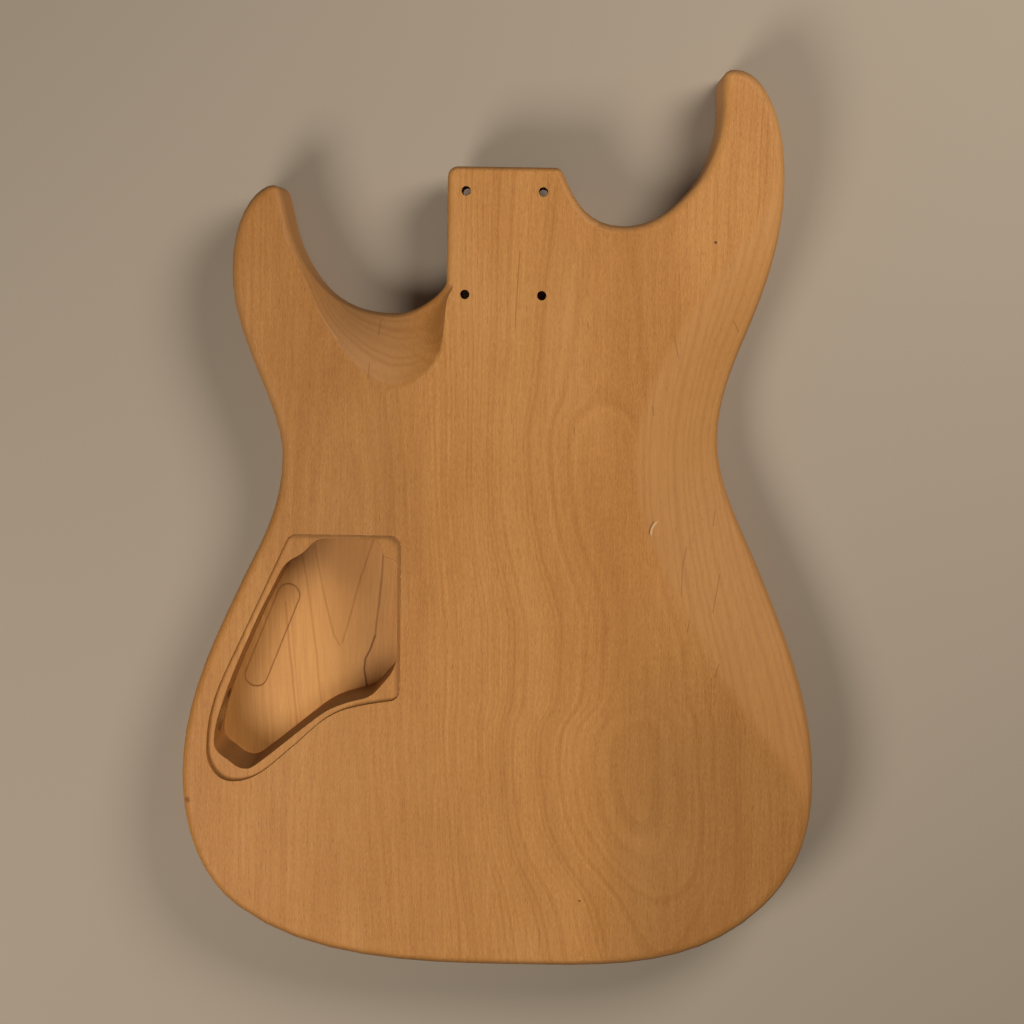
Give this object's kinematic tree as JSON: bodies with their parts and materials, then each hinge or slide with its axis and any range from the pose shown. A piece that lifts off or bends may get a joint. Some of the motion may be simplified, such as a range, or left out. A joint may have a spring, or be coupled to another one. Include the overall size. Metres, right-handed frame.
{
  "type": "electric guitar body",
  "caption": "Bare wood solid electric guitar body with two horns, bolt-on neck pocket and heel, belly cut, access scoop, rear control cavity and front pickup routes.",
  "frame": {"origin": "middle of the bridge line on the front face, on the centre joint", "axes": "+X to the bass side, +Y along the centreline to the neck, +Z out of the back; the body lies face down"},
  "size_m": [0.321, 0.4537, 0.0444],
  "materials": {
    "alder_back": "sanded bare alder, straight to wavy grain",
    "maple_top": "sanded bare maple, fine pale grain"
  },
  "bodies": {
    "root": {"alder_back_treble": "alder_back", "alder_back_middle": "alder_back", "alder_back_bass": "alder_back", "maple_top_treble": "maple_top", "maple_top_bass": "maple_top"}
  },
  "joints": []
}
